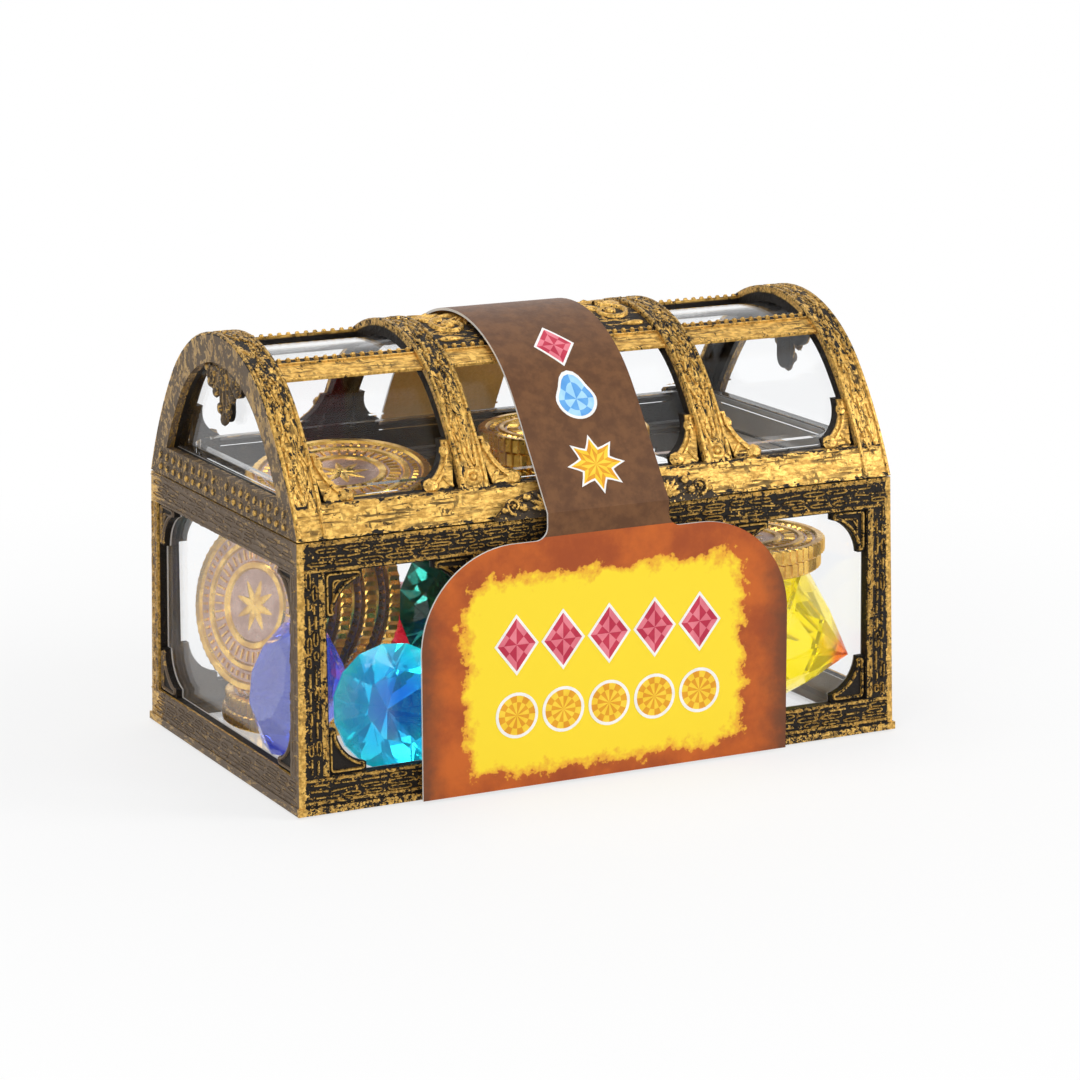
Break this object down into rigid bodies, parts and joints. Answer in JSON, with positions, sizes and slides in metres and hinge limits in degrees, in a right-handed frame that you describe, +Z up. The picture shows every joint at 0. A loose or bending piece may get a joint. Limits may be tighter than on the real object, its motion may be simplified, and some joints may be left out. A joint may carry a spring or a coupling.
{
  "type": "toy treasure chest box",
  "caption": "Small toy treasure chest: gilt openwork frame, clear tray and domed lid on a back hinge, filled with play coins and cut gems, in a printed card sleeve.",
  "frame": {"origin": "middle of the underside, on the surface that the chest stands on", "axes": "+X along the chest to the right, -Y out of the front with the sleeve's panel, +Z up"},
  "size_m": [0.1306, 0.082, 0.0861],
  "materials": {
    "antique_gold": "black moulded plastic with gold dry-brushed over its raised detail",
    "clear_plastic": "clear moulded plastic",
    "pin_steel": "plain steel",
    "printed_card": "printed board with pale cut edges",
    "coin_gold": "plastic with a vacuum-plated gold face",
    "blue_gem": "clear tinted",
    "cyan_gem": "clear tinted",
    "red_gem": "clear tinted",
    "yellow_gem": "clear tinted",
    "green_gem": "clear tinted"
  },
  "bodies": {
    "base": {"base_frame": "antique_gold", "base_tray": "clear_plastic", "hinge_pin_left": "pin_steel", "hinge_pin_right": "pin_steel", "lock_boss": "antique_gold", "flat_coins_left": "coin_gold", "standing_coin_1": "coin_gold", "standing_coin_2": "coin_gold", "standing_coin_3": "coin_gold", "standing_coin_4": "coin_gold", "leaning_coin_1": "coin_gold", "leaning_coin_2": "coin_gold", "leaning_coin_3": "coin_gold", "flat_coins_front": "coin_gold", "coin_stack": "coin_gold", "right_coin_lower": "coin_gold", "right_coin_upper": "coin_gold", "blue_gem": "blue_gem", "cyan_gem": "cyan_gem", "red_gem": "red_gem", "yellow_gem": "yellow_gem", "green_gem": "green_gem"},
    "lid": {"lid_frame": "antique_gold", "lid_dome": "clear_plastic", "lock_plate": "antique_gold"},
    "sleeve": {"card_sleeve": "printed_card"}
  },
  "joints": [
    {"name": "lid_hinge", "type": "hinge", "parent": "base", "child": "lid", "pos_m": [0, 0.0386, 0.05195], "axis": [-1, 0, 0], "range_deg": [0, 105]},
    {"name": "sleeve_lift", "type": "slide", "parent": "lid", "child": "sleeve", "axis": [0, 0, 1], "range_m": [0, 0.1]}
  ]
}
